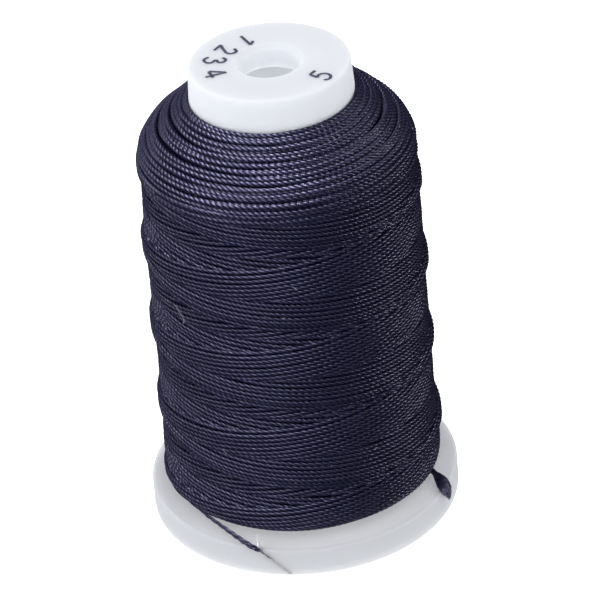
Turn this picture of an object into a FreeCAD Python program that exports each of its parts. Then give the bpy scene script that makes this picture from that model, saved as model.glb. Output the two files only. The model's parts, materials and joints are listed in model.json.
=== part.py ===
import FreeCAD, Part
import math
import os

# A spool of sewing thread, in millimetres.
# +Z runs up the axis, from the ring that the spool stands on to its nose.
# The origin is the centre of that ring.  Angles turn counter-clockwise from +X,
# and the thread catch, a slit in the rim of the foot flange, faces -Y.

# overall
spool_height = 50.8
flange_diameter = 31.75

# barrel: one moulding, a drafted tube closed at the nose by a disc with the pin's hole
pin_hole_diameter = 6.1
nose_disc_thickness = 2.5
nose_top_diameter = 16.0
nose_seat_diameter = 16.6        # where the top of the winding meets the nose
barrel_foot_diameter = 17.4
barrel_wall = 1.2
nose_edge_rounding = 0.45
pin_hole_lip_rounding = 0.55
cavity_corner_rounding = 0.8

# foot flange: a plate with a down-turned rim, a spigot for the barrel and a bush for the pin
rim_height = 3.1
rim_wall = 1.1
plate_thickness = 1.1
rim_top_rounding = 0.5
rim_foot_rounding = 0.25
spigot_height = 6.0
spigot_wall = 0.9
spigot_clearance = 0.03
bush_wall = 1.0
bush_foot_height = 0.5           # the bush stops short of what the rim stands on
bush_top_height = 4.8
bush_rib_count = 4
bush_rib_thickness = 0.8

# thread catch: a cut in the plate that turns down across the rim
catch_angle = 250.0
catch_width = 0.3
plate_cut_length = 2.6
plate_cut_skew = 20.0            # away from the radius
rim_cut_lean = 43.6              # away from level
rim_cut_reach = 1.5              # inward from the rim's face

# winding: inner layers on the barrel, outer layers over them
flange_overhang = 1.75           # the flange stands out past the winding by this much
nose_bare_height = 3.4           # nose left bare above the winding
shoulder_drop = 8.1              # from the nose's top to the corner of side and cone
cone_top_radius = 9.6            # where the cone eases off towards the nose
cone_top_drop = 4.0
shoulder_rounding = 4.5
cone_top_rounding = 3.0
winding_foot_rounding = 2.4
foot_rounding_limit = 0.9        # share of the outer layers' depth that it may take
winding_gap = 0.03               # between the thread and what it is wound on

# loose ends of the thread
thread_diameter = 0.42
running_end_height = 1.25        # above the plate, where it leaves the winding
running_end_hug = 26.0           # degrees that it follows the winding before it leaves
running_end_steps = 8
hidden_tail_length = 1.8
tail_root_angle = -20.5
tail_heading = -59.0
tail_length = 4.8
tail_tip_width = 2.0
tail_thickness = 0.4

flange_radius = flange_diameter / 2
pin_hole_radius = pin_hole_diameter / 2
thread_radius = thread_diameter / 2
winding_radius = flange_radius - flange_overhang
winding_top = spool_height - nose_bare_height
plate_underside = rim_height - plate_thickness
outer_layers_depth = (winding_radius - barrel_foot_diameter / 2) / 2
foot_rounding = min(winding_foot_rounding, foot_rounding_limit * outer_layers_depth)

Z_AXIS = FreeCAD.Vector(0, 0, 1)
ORIGIN = FreeCAD.Vector(0, 0, 0)


def at(radius, height):
    """A point of a turned outline, in the XZ plane."""
    return FreeCAD.Vector(radius, 0, height)


def polar(radius, degrees, height):
    """A point at a radius and angle about the axis."""
    angle = math.radians(degrees)
    return FreeCAD.Vector(radius * math.cos(angle), radius * math.sin(angle), height)


def rounded_outline(corners):
    """A closed wire through corners of (radius, height, rounding)."""
    arcs = []
    for i, (radius, height, rounding) in enumerate(corners):
        here = at(radius, height)
        before = corners[i - 1]
        after = corners[(i + 1) % len(corners)]
        back = (at(before[0], before[1]) - here).normalize()
        on = (at(after[0], after[1]) - here).normalize()
        half = back.getAngle(on) / 2
        reach = rounding / math.tan(half)
        depth = rounding / math.sin(half) - rounding
        middle = here + (back + on).normalize() * depth
        arcs.append((here + back * reach, middle, here + on * reach, rounding))
    edges = []
    for i, (start, middle, end, rounding) in enumerate(arcs):
        if rounding:
            edges.append(Part.Arc(start, middle, end).toShape())
        edges.append(Part.makeLine(end, arcs[(i + 1) % len(arcs)][0]))
    return Part.Wire(edges)


def turned(corners):
    """The solid that an outline sweeps about the axis."""
    face = Part.Face(rounded_outline(corners))
    return face.revolve(ORIGIN, Z_AXIS, 360)


def barrel_radius(height):
    """Outside radius of the barrel below the winding's top."""
    share = (height - rim_height) / (winding_top - rim_height)
    return (barrel_foot_diameter + share * (nose_seat_diameter - barrel_foot_diameter)) / 2


def cavity_radius(height):
    """Inside radius of the barrel."""
    return barrel_radius(height) - barrel_wall


def spool_barrel():
    """Drafted tube with the nose disc, open at the foot."""
    disc_underside = spool_height - nose_disc_thickness
    return turned([
        (pin_hole_radius, spool_height, pin_hole_lip_rounding),
        (nose_top_diameter / 2, spool_height, nose_edge_rounding),
        (barrel_radius(winding_top), winding_top, 0),
        (barrel_radius(rim_height), rim_height, 0),
        (cavity_radius(rim_height), rim_height, 0),
        (cavity_radius(disc_underside), disc_underside, cavity_corner_rounding),
        (pin_hole_radius, disc_underside, 0),
    ])


def flange_body():
    """Plate, rim, spigot and bush, turned as one."""
    spigot_top = rim_height + spigot_height
    spigot_foot_radius = cavity_radius(rim_height) - spigot_clearance
    spigot_top_radius = cavity_radius(spigot_top) - spigot_clearance
    rim_inner = flange_radius - rim_wall
    bush_radius = pin_hole_radius + bush_wall
    return turned([
        (flange_radius, 0, rim_foot_rounding),
        (flange_radius, rim_height, rim_top_rounding),
        (spigot_foot_radius, rim_height, 0),
        (spigot_top_radius, spigot_top, spigot_wall / 3),
        (spigot_top_radius - spigot_wall, spigot_top, 0),
        (spigot_foot_radius - spigot_wall, rim_height, 0),
        (bush_radius, rim_height, 0),
        (bush_radius, bush_top_height, 0),
        (pin_hole_radius, bush_top_height, 0),
        (pin_hole_radius, bush_foot_height, 0),
        (bush_radius, bush_foot_height, 0),
        (bush_radius, plate_underside, 0),
        (rim_inner, plate_underside, rim_wall / 4),
        (rim_inner, 0, 0),
    ])


def bush_rib(number):
    """One upright web between the bush and the spigot."""
    inner = pin_hole_radius + bush_wall / 2
    outer = cavity_radius(rim_height) - spigot_wall
    corner = FreeCAD.Vector(inner, -bush_rib_thickness / 2, plate_underside)
    rib = Part.makeBox(outer - inner, bush_rib_thickness, bush_top_height - plate_underside, corner)
    return rib.rotate(ORIGIN, Z_AXIS, 45 + number * 360 / bush_rib_count)


def plate_cut():
    """Slab that opens the plate from under the winding to the top of the rim's cut."""
    length = plate_cut_length - rim_wall / 2
    corner = FreeCAD.Vector(-plate_cut_length, -catch_width / 2, plate_underside)
    slab = Part.makeBox(length, catch_width, 2 * plate_thickness, corner)
    slab = slab.rotate(ORIGIN, Z_AXIS, plate_cut_skew)
    slab.translate(FreeCAD.Vector(flange_radius, 0, 0))
    return slab.rotate(ORIGIN, Z_AXIS, catch_angle)


def rim_cut_turn():
    """Angle about the axis from the top of the rim's cut to its middle."""
    half_run = rim_height / 2 / math.tan(math.radians(rim_cut_lean))
    return math.degrees(half_run / flange_radius)


def rim_cut():
    """Leaning slab that carries the slit on down across the rim."""
    beyond = 1.0
    length = rim_height / math.sin(math.radians(rim_cut_lean)) + 2 * beyond
    corner = FreeCAD.Vector(-rim_cut_reach, -length / 2, -catch_width / 2)
    slab = Part.makeBox(rim_cut_reach + beyond, length, catch_width, corner)
    slab = slab.rotate(ORIGIN, FreeCAD.Vector(1, 0, 0), -rim_cut_lean)
    slab.translate(FreeCAD.Vector(flange_radius, 0, rim_height / 2))
    return slab.rotate(ORIGIN, Z_AXIS, catch_angle + rim_cut_turn())


def base_flange():
    """Foot of the spool, with the ribs that carry its bush and the thread catch."""
    body = flange_body()
    for number in range(bush_rib_count):
        body = body.fuse(bush_rib(number))
    return body.cut(plate_cut()).cut(rim_cut()).removeSplitter()


def layer_corners(depth):
    """Side and cone of the winding at a depth below its surface, foot first."""
    cone_run = winding_radius - cone_top_radius
    cone_rise = shoulder_drop - cone_top_drop
    slant = math.atan2(cone_run, cone_rise)
    side = winding_radius - depth
    corner_height = spool_height - shoulder_drop - depth * math.tan(slant / 2)
    top_height = corner_height
    for _ in range(6):
        top_radius = barrel_radius(top_height) + winding_gap
        top_height = corner_height + (side - top_radius) / math.tan(slant)
    return [
        (side, rim_height + winding_gap, 0),
        (side, corner_height, shoulder_rounding - depth),
        (top_radius, top_height, 0),
    ]


def inner_winding():
    """The layers on the barrel, under all that shows."""
    foot = rim_height + winding_gap
    corners = layer_corners(outer_layers_depth + winding_gap)
    return turned(corners + [(barrel_radius(foot) + winding_gap, foot, 0)])


def outer_winding():
    """The layers that show, laid over the inner ones and eased off at the nose."""
    foot = rim_height + winding_gap
    under = layer_corners(outer_layers_depth)
    return turned([
        (winding_radius, foot, foot_rounding),
        (winding_radius, spool_height - shoulder_drop, shoulder_rounding),
        (cone_top_radius, spool_height - cone_top_drop, cone_top_rounding),
        (barrel_radius(winding_top) + winding_gap, winding_top, 0),
        under[2],
        under[1],
        under[0],
    ])


def strand(points, radius):
    """A round strand through points, with a ball at each bend."""
    shape = Part.makeSphere(radius, points[0])
    for start, end in zip(points, points[1:]):
        run = end - start
        shape = shape.fuse(Part.makeCylinder(radius, run.Length, start, run))
        shape = shape.fuse(Part.makeSphere(radius, end))
    return shape


def winding_foot_radius(height):
    """Outside radius of the winding inside its rounded foot corner."""
    below = max(0.0, foot_rounding - height)
    bulge = math.sqrt(foot_rounding ** 2 - below ** 2)
    return winding_radius - foot_rounding + bulge


def running_end_points():
    """Round the winding, straight to the catch, through the rim and a short way on."""
    leave_height = rim_height + running_end_height
    wrap_radius = winding_foot_radius(running_end_height) + thread_radius + winding_gap
    catch_radius = flange_radius - rim_top_rounding / 2
    leave_angle = catch_angle - math.degrees(math.acos(wrap_radius / catch_radius))
    points = []
    for step in range(running_end_steps + 1):
        back = running_end_hug * (1 - step / running_end_steps)
        points.append(polar(wrap_radius, leave_angle - back, leave_height))
    half_turn = rim_cut_turn()
    points.append(polar(catch_radius, catch_angle, rim_height + thread_radius))
    points.append(polar(flange_radius - rim_wall / 3, catch_angle + 0.35 * half_turn, rim_height * 0.83))
    hollow_radius = flange_radius - rim_wall - thread_diameter
    points.append(polar(hollow_radius, catch_angle + half_turn, rim_height / 2))
    tail_turn = math.degrees(hidden_tail_length / hollow_radius)
    points.append(polar(hollow_radius, catch_angle + half_turn + tail_turn, rim_height / 3))
    return points


def thread_running_end(flange, winding):
    """The end of the thread, parked in the catch, which nips it flat."""
    return strand(running_end_points(), thread_radius).cut(flange).cut(winding)


def thread_starting_tail(winding):
    """The cut end that the winding began from, fanned out over the flange."""
    half_root = thread_radius
    half_tip = tail_tip_width / 2
    foot = rim_height + winding_gap
    outline = [
        FreeCAD.Vector(0, -half_root, foot),
        FreeCAD.Vector(tail_length, -half_tip, foot),
        FreeCAD.Vector(tail_length, half_tip, foot),
        FreeCAD.Vector(0, half_root, foot),
    ]
    face = Part.Face(Part.makePolygon(outline + outline[:1]))
    fan = face.extrude(FreeCAD.Vector(0, 0, tail_thickness))
    fan = fan.rotate(ORIGIN, Z_AXIS, tail_heading)
    fan.translate(polar(winding_foot_radius(tail_thickness / 2), tail_root_angle, 0))
    return fan.cut(winding)


def write_parts():
    """One STEP file per piece of the spool."""
    os.makedirs("parts", exist_ok=True)
    flange = base_flange()
    outer = outer_winding()
    pieces = {
        "spool_barrel": spool_barrel(),
        "base_flange": flange,
        "inner_winding": inner_winding(),
        "outer_winding": outer,
        "thread_running_end": thread_running_end(flange, outer),
        "thread_starting_tail": thread_starting_tail(outer),
    }
    for name, shape in pieces.items():
        shape.exportStep("parts/" + name + ".step")
        print(name, len(shape.Solids), "solid", round(shape.Volume, 2), "mm3", shape.isValid())


write_parts()
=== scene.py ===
import json
import math
import random

import bmesh
import bpy
import numpy as np
from mathutils import Matrix, Vector

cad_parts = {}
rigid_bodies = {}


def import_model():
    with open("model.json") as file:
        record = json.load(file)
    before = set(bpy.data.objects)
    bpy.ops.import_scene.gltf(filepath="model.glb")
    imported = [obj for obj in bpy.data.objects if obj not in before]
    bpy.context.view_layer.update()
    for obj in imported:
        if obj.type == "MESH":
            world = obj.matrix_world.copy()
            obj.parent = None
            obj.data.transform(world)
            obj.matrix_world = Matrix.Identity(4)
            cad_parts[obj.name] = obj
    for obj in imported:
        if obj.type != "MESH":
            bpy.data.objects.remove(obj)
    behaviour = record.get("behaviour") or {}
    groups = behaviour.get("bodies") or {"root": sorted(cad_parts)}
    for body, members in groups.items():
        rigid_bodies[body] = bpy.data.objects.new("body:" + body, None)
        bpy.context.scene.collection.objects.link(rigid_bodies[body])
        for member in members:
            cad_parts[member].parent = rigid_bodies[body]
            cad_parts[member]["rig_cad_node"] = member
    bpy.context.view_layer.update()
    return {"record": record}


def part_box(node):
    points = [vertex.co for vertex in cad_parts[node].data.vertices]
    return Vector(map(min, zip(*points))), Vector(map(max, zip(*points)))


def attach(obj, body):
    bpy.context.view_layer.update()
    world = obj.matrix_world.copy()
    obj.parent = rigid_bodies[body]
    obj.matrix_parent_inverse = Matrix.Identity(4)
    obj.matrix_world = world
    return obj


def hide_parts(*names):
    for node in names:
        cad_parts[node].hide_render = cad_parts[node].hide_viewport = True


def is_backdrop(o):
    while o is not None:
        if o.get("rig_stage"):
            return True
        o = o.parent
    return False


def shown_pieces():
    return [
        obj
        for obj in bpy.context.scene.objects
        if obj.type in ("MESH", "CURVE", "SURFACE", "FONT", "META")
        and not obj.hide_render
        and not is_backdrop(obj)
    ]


bl_info = {
    "name": "Thread Spool",
    "version": (1, 0, 0),
    "blender": (4, 5, 0),
    "location": "View3D > Sidebar > Spool",
    "description": "Models a spool of sewing thread around its packed frame",
    "category": "Add Mesh",
}

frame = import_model()

MM = 0.001
TURN = 2 * math.pi
SAME_SPOT = 1e-6
CREASE = math.radians(35)
BODY = "root"

barrel_low, barrel_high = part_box("spool_barrel")
flange_low, flange_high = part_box("base_flange")
winding_low, winding_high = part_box("outer_winding")
core_low, core_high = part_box("inner_winding")

SPOOL_TOP = barrel_high.z
PLATE_TOP = barrel_low.z
FLANGE_RADIUS = (flange_high.x - flange_low.x) / 2
BARREL_FOOT_RADIUS = (barrel_high.x - barrel_low.x) / 2
WINDING_RADIUS = (winding_high.x - winding_low.x) / 2
WINDING_FOOT = winding_low.z
WINDING_TOP = winding_high.z
CORE_RADIUS = (core_high.x - core_low.x) / 2
mounts = {mount["name"]: mount["dims"] for mount in frame["record"]["mounts"]}
PIN_HOLE_RADIUS = mounts["nose_pin_hole"]["r_mm"] * MM


# ---------------------------------------------------------------- sizes and colours

def amount(name, description, default, **more):
    """A number that a user may change."""
    return bpy.props.FloatProperty(name=name, description=description, default=default, **more)


def length(name, description, default):
    """A size that a user may change, kept in metres."""
    return amount(name, description, default, min=0.0, precision=6, unit="LENGTH")


def angle(name, description, degrees):
    """An angle that a user may change, kept in radians."""
    return amount(name, description, math.radians(degrees), subtype="ANGLE")


def colour(name, description, default):
    """A linear colour that a user may change."""
    return bpy.props.FloatVectorProperty(
        name=name, description=description, default=default, size=3, min=0.0, max=1.0, subtype="COLOR"
    )


def count(name, description, default):
    """A whole number that a user may change."""
    return bpy.props.IntProperty(name=name, description=description, default=default, min=1)


class SpoolMouldingSizes(bpy.types.PropertyGroup):
    """Sizes of the two mouldings that the boxes of the frame don't give."""

    nose_top_radius: length("Nose top radius", "Radius of the nose at its top face", 8.0 * MM)
    nose_seat_radius: length("Nose seat radius", "Radius where the winding meets the nose", 8.2 * MM)
    nose_disc: length("Nose disc", "Thickness of the disc that holds the pin's hole", 2.5 * MM)
    barrel_wall: length("Barrel wall", "Wall of the barrel's tube", 1.2 * MM)
    hole_lip: length("Hole lip", "Rounding of the hole's upper edge", 0.55 * MM)
    nose_edge: length("Nose edge", "Rounding of the nose's outer edge", 0.32 * MM)
    rim_wall: length("Rim wall", "Wall of the flange's down-turned rim", 1.1 * MM)
    plate: length("Plate", "Thickness of the flange's plate", 1.1 * MM)
    rim_edge: length("Rim edge", "Rounding of the flange's upper edge", 0.32 * MM)
    rim_foot: length("Rim foot", "Rounding of the edge that the spool stands on", 0.25 * MM)
    spigot_height: length("Spigot height", "Height of the spigot in the barrel", 6.0 * MM)
    spigot_wall: length("Spigot wall", "Wall of the spigot", 0.9 * MM)
    bush_wall: length("Bush wall", "Wall of the bush that the pin runs in", 1.0 * MM)
    catch_angle: angle("Catch angle", "Where the thread catch is, from +X", 250.0)
    catch_width: length("Catch width", "Width of the slit", 0.08 * MM)
    plate_cut: length("Plate cut", "Length of the catch's cut in the plate", 2.6 * MM)
    plate_cut_skew: angle("Plate cut skew", "Turn of that cut away from the radius", 20.0)
    rim_cut_lean: angle("Rim cut lean", "Lean of the cut down the rim, from level", 43.6)


class SpoolThreadSizes(bpy.types.PropertyGroup):
    """Sizes of the thread and of the way that it is wound."""

    diameter: length("Thread diameter", "Diameter over the plies", 0.46 * MM)
    loose_diameter: length("Loose diameter", "Diameter of the slack turns on the shoulder", 0.58 * MM)
    twist_pitch: length("Twist pitch", "Length of thread for one turn of its plies", 1.85 * MM)
    lead: length("Winding lead", "Rise of the thread in one turn of the spool", 9.33 * MM)
    starts: count("Threads in a lead", "Parallel threads side by side in one lead", 19)
    segment: length("Segment", "Length of one modelled step of thread", 0.185 * MM)
    rising_edge: length("Rising edge", "Height of the newest rising thread at the left side", 33.25 * MM)
    falling_edge: length("Falling edge", "Height of the newest falling thread at the left side", 39.5 * MM)
    shoulder_pitch: length("Shoulder pitch", "Spacing of the turns on the shoulder", 0.60 * MM)
    swell: length("Swell", "How far the newest threads stand over the oldest", 0.38 * MM)


class SpoolColours(bpy.types.PropertyGroup):
    """Base colours, linear."""

    barrel: colour("Barrel", "Opaque white plastic", (0.748, 0.761, 0.785))
    flange: colour("Flange", "Translucent natural plastic", (0.50, 0.507, 0.522))
    # Thread and thread sheen are shaded and lit copies of the navy: the dark one is painted shade in the ply
    # grooves, the lighter one lies on the crests; random mottle mixes them too.
    thread: colour("Thread", "Dark side of the navy thread", (0.0012, 0.0015, 0.0140))
    thread_sheen: colour("Thread sheen", "Light side of the navy thread", (0.0185, 0.0182, 0.0520))
    ink: colour("Ink", "Print on the nose", (0.006, 0.016, 0.024))
    lint: colour("Lint", "Pale specks of dust", (0.55, 0.55, 0.62))


class SpoolStageSettings(bpy.types.PropertyGroup):
    """Where the camera stands and how strong the lights are."""

    distance: length("Camera distance", "From the camera to the point that it looks at", 411.3 * MM)
    elevation: angle("Camera elevation", "Height of the camera over level", 32.3)
    roll: angle("Camera roll", "Turn of the camera about its own axis", -5.0)
    focal: amount("Focal length", "Focal length in millimetres", 243.4, unit="CAMERA")
    aim_side: length("Aim aside", "Sideways offset of the point looked at", 0.99 * MM)
    aim_height: length("Aim height", "Height of the point looked at", 22.88 * MM)
    dome: amount("Dome", "Strength of the white surroundings", 1.1)
    key: amount("Key", "Power that the glossy lights share out, in watts", 12.5)
    fill: amount("Fill", "Power of the matt light, in watts", 0.8)
    glow: amount("Glow", "Power of the light in the hollow, in watts", 0.0014)


SETTINGS = {
    "spool_mouldings": SpoolMouldingSizes,
    "spool_thread": SpoolThreadSizes,
    "spool_colours": SpoolColours,
    "spool_stage": SpoolStageSettings,
}


# ---------------------------------------------------------------- shader helpers

class Socket:
    """A shader socket or a number, with arithmetic that adds Math nodes."""

    def __init__(self, recipe, value):
        self.recipe = recipe
        self.value = value

    def _math(self, operation, first, second=None):
        values = [first] if second is None else [first, second]
        return self.recipe.node("ShaderNodeMath", {"operation": operation}, *values)

    def __add__(self, other):
        return self._math("ADD", self, other)

    __radd__ = __add__

    def __sub__(self, other):
        return self._math("SUBTRACT", self, other)

    def __rsub__(self, other):
        return self._math("SUBTRACT", other, self)

    def __mul__(self, other):
        return self._math("MULTIPLY", self, other)

    __rmul__ = __mul__

    def __truediv__(self, other):
        return self._math("DIVIDE", self, other)

    def __pow__(self, other):
        return self._math("POWER", self, other)

    def clamped(self):
        """The same value kept between 0 and 1."""
        return self.recipe.node("ShaderNodeClamp", {}, self, 0.0, 1.0)


class Recipe:
    """A material under construction."""

    def __init__(self, name, tree=None):
        if tree is None:
            self.material = bpy.data.materials.new(name)
            self.material.use_nodes = True
            tree = self.material.node_tree
            kind = "ShaderNodeOutputMaterial"
        else:
            kind = "ShaderNodeOutputWorld"
        self.tree = tree
        self.tree.nodes.clear()
        self.output = self.tree.nodes.new(kind)

    def put(self, socket, value):
        """Link a Socket, or set a constant, on an input."""
        if isinstance(value, Socket):
            self.tree.links.new(value.value, socket)
        elif isinstance(value, (tuple, list)) and len(value) == 3 and socket.type == "RGBA":
            socket.default_value = (*value, 1.0)
        else:
            socket.default_value = value

    def node(self, kind, settings, *values, out=0, **named):
        """Any node: its settings first, then its inputs by order (None skips one) or by name."""
        made = self.tree.nodes.new(kind)
        for key, value in settings.items():
            setattr(made, key, value)
        for socket, value in zip(made.inputs, values):
            if value is not None:
                self.put(socket, value)
        for key, value in named.items():
            self.put(made.inputs[key.replace("_", " ")], value)
        return Socket(self, made.outputs[out])

    def place(self):
        """Object coordinates, which run in metres from the spool's foot."""
        return self.node("ShaderNodeTexCoord", {}, out=3)

    def axis(self, vector, number):
        """One of a vector's three parts."""
        return self.node("ShaderNodeSeparateXYZ", {}, vector, out=number)

    def radius(self):
        """Distance from the spool's axis."""
        aside, ahead = self.axis(self.place(), 0), self.axis(self.place(), 1)
        return (aside * aside + ahead * ahead) ** 0.5

    def noise(self, scale, detail=2.0):
        """Smooth noise between 0 and 1."""
        settings = {"noise_dimensions": "3D"}
        return self.node("ShaderNodeTexNoise", settings, Vector=self.place(), Scale=scale, Detail=detail)

    def blend(self, factor, first, second):
        """A mix of two colours, whose sockets come after those for numbers and vectors."""
        return self.node("ShaderNodeMix", {"data_type": "RGBA"}, factor, *[None] * 5, first, second, out=2)

    def ramp(self, factor, low, high):
        """0 at low, 1 at high, even between and level beyond."""
        return self.node("ShaderNodeMapRange", {"clamp": True}, Value=factor, From_Min=low, From_Max=high)

    def bump(self, height, strength, distance):
        """A normal from a height."""
        return self.node("ShaderNodeBump", {}, Height=height, Strength=strength, Distance=distance)

    def show(self, surface):
        """Link a shader to the output."""
        self.tree.links.new(surface.value, self.output.inputs["Surface"])

    def principled(self, **named):
        """The finished material."""
        self.show(self.node("ShaderNodeBsdfPrincipled", {}, **named))
        return self.material


def white_moulding(colours):
    """Opaque white moulded plastic, faintly blue, with a fine satin skin and a painted glow on the wall of
    the pin hole.
    """
    recipe = Recipe("white_moulding")
    clouds = recipe.noise(160.0, 3.0)
    skin = recipe.noise(2600.0, 2.0)
    white = tuple(colours.barrel)
    shade = tuple(0.97 * part for part in white)
    # Painted light: the pin hole's wall glows, brightening it where it lies in shade.
    hole = recipe.ramp(recipe.radius(), 3.16 * MM, 3.04 * MM)
    return recipe.principled(
        Base_Color=recipe.blend(recipe.ramp(clouds, 0.35, 0.7), shade, white),
        Roughness=0.66 + 0.10 * skin,
        Normal=recipe.bump(skin, 0.05, 0.02 * MM),
        Specular_IOR_Level=0.01,
        Subsurface_Weight=1.0,
        Subsurface_Radius=(1.0, 1.0, 1.0),
        Subsurface_Scale=1.4 * MM,
        IOR=1.49,
        Emission_Color=recipe.blend(hole, (0.0, 0.0, 0.0), (0.96, 0.97, 1.0)),
        Emission_Strength=0.10,
    )


def natural_moulding(colours):
    """Soft translucent plastic that scatters light deep under a waxy skin, with a painted glow on the plate
    that is strongest towards the front and next to the winding.
    """
    recipe = Recipe("natural_moulding")
    clouds = recipe.noise(95.0, 2.0)
    skin = recipe.noise(1500.0, 3.0)
    light = tuple(colours.flange)
    shade = tuple(0.96 * part for part in light)
    # Painted light: the plate glows, more towards the front (-Y), in a band inside the rim's edge (thin) and
    # most next to the winding, which lifts the shade the winding casts.
    painted_glow_front = 0.35 + 0.65 * recipe.ramp(recipe.axis(recipe.place(), 1), 0.0, -15.0 * MM)
    thin = 0.6 * recipe.ramp(recipe.radius(), 15.85 * MM, 15.3 * MM)
    painted_glow_by_winding = 0.4 * recipe.ramp(recipe.radius(), 15.4 * MM, 14.0 * MM)
    glow = (thin + painted_glow_by_winding) * painted_glow_front
    return recipe.principled(
        Base_Color=recipe.blend(recipe.ramp(clouds, 0.3, 0.7), shade, light),
        Roughness=0.55 + 0.12 * skin,
        Normal=recipe.bump(skin, 0.08, 0.03 * MM),
        Specular_IOR_Level=0.05,
        Subsurface_Weight=1.0,
        Subsurface_Radius=(1.0, 1.0, 1.0),
        Subsurface_Scale=4.0 * MM,
        IOR=1.51,
        Emission_Color=recipe.blend(glow, (0.0, 0.0, 0.0), (1.0, 1.0, 1.0)),
        Emission_Strength=0.26,
    )


def thread_fibre(colours):
    """Wound thread, with painted shade in the grooves between its plies."""
    recipe = Recipe("thread_fibre")
    ridge = recipe.node("ShaderNodeAttribute", {"attribute_name": "ridge"}, out=2)
    return plied(recipe, colours, ridge)


def loose_fibre(colours):
    """The same thread where it lies open."""
    recipe = Recipe("loose_fibre")
    return plied(recipe, colours, recipe.ramp(recipe.noise(2400.0, 2.0), 0.2, 0.6))


def plied(recipe, colours, ridge):
    """Navy thread: a matt fibre with fine streaks, painted shade where the ridge mask is low (the ply grooves
    of wound thread), and a soft purple sheen on its crests.
    """
    streaks = recipe.noise(5200.0, 2.0)
    glints = recipe.noise(1500.0, 2.0)
    patches = recipe.noise(330.0, 3.0)
    mottle = 0.25 * recipe.ramp(patches, 0.3, 0.7) + 0.25 * recipe.ramp(streaks, 0.3, 0.75)
    # Painted shade: the base colour darkens where the ridge mask is low, into the grooves between plies on
    # wound thread; mottle adds random patches and streaks.
    shade = ((0.30 + mottle) * recipe.ramp(ridge, 0.0, 0.7)).clamped()
    crest = recipe.ramp(ridge, 0.2, 0.95)
    return recipe.principled(
        Base_Color=recipe.blend(shade, tuple(colours.thread), tuple(colours.thread_sheen)),
        Roughness=0.62 - 0.30 * crest + 0.14 * streaks,
        Normal=recipe.bump(streaks, 0.5, 0.03 * MM),
        Specular_IOR_Level=0.04,
        Specular_Tint=(0.70, 0.64, 1.0),
        Coat_Weight=crest * (0.65 + 0.35 * recipe.ramp(glints, 0.4, 0.72)),
        Coat_Roughness=0.38,
        Coat_IOR=1.5,
    )


def print_ink(colours):
    """Dark ink, a little uneven where it met the plastic."""
    recipe = Recipe("print_ink")
    patches = recipe.noise(1800.0, 3.0)
    ink = tuple(colours.ink)
    thin = tuple(part + 0.02 for part in ink)
    tone = recipe.blend(recipe.ramp(patches, 0.45, 0.8), ink, thin)
    return recipe.principled(Base_Color=tone, Roughness=0.45 + 0.2 * patches)


def lint_fibre(colours):
    """Pale dust."""
    recipe = Recipe("lint_fibre")
    pale = tuple(colours.lint)
    grey = tuple(0.6 * part for part in pale)
    return recipe.principled(Base_Color=recipe.blend(recipe.noise(2500.0, 1.0), pale, grey), Roughness=0.8)


def floor_paper(colours):
    """White paper, lit through so that it stays white under the spool."""
    recipe = Recipe("floor_paper")
    grain = recipe.noise(900.0, 2.0)
    return recipe.principled(
        Base_Color=recipe.blend(grain, (0.93, 0.93, 0.93), (0.96, 0.96, 0.96)),
        Roughness=0.9,
        Emission_Color=(1.0, 1.0, 1.0, 1.0),
        Emission_Strength=1.0,
    )


def finish_of(finish):
    """The material that a finish makes, made once and then shared."""
    found = bpy.data.materials.get(finish.__name__)
    return found or finish(bpy.context.scene.spool_colours)


# ---------------------------------------------------------------- modelling helpers

def deselect():
    """Leave edit mode and clear the selection."""
    if bpy.context.object and bpy.context.object.mode != "OBJECT":
        bpy.ops.object.mode_set(mode="OBJECT")
    bpy.ops.object.select_all(action="DESELECT")


def pick(piece):
    """Make one object the selected and active one."""
    deselect()
    piece.select_set(True)
    bpy.context.view_layer.objects.active = piece


def dress(piece, finish, slot, *replaced):
    """Give a finished piece its material and its body; its slot is not used."""
    piece.data.materials.clear()
    piece.data.materials.append(finish_of(finish))
    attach(piece, BODY)
    if replaced:
        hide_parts(*replaced)
    return piece


def draw_outline(name, corners):
    """Draw a closed outline in the XZ plane, corner by corner, and leave it in edit mode."""
    deselect()
    radius, height, _ = corners[0]
    bpy.ops.mesh.primitive_plane_add(size=MM, location=(radius, 0, height))
    piece = bpy.context.object
    piece.name = name
    piece.data.name = name
    bpy.ops.object.transform_apply(location=True, rotation=True, scale=True)
    bpy.ops.object.mode_set(mode="EDIT")
    bpy.ops.mesh.select_all(action="SELECT")
    bpy.ops.mesh.merge(type="CENTER")
    for before, after in zip(corners, corners[1:]):
        step = (after[0] - before[0], 0, after[1] - before[1])
        bpy.ops.mesh.extrude_vertices_move(TRANSFORM_OT_translate={"value": step})
    wire = bmesh.from_edit_mesh(piece.data)
    wire.verts.ensure_lookup_table()
    wire.verts[0].select = True
    wire.verts[-1].select = True
    bmesh.update_edit_mesh(piece.data)
    bpy.ops.mesh.edge_face_add()
    return piece


def select_near(piece, spot, reach):
    """Select only the vertices within reach of a spot."""
    bpy.ops.mesh.select_all(action="DESELECT")
    wire = bmesh.from_edit_mesh(piece.data)
    for vertex in wire.verts:
        if (vertex.co - spot).length < reach:
            vertex.select = True
    wire.select_flush(True)
    bmesh.update_edit_mesh(piece.data)


def round_corners(piece, corners, segments):
    """Round each corner that has a rounding."""
    for i, (radius, height, rounding) in enumerate(corners):
        if not rounding:
            continue
        here = Vector((radius, 0, height))
        before = corners[i - 1]
        after = corners[(i + 1) % len(corners)]
        back = Vector((before[0], 0, before[1])) - here
        on = Vector((after[0], 0, after[1])) - here
        reach = rounding / math.tan(back.angle(on) / 2)
        select_near(piece, here, SAME_SPOT)
        bpy.ops.mesh.bevel(offset=reach, offset_type="OFFSET", segments=segments, affect="VERTICES")


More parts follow.
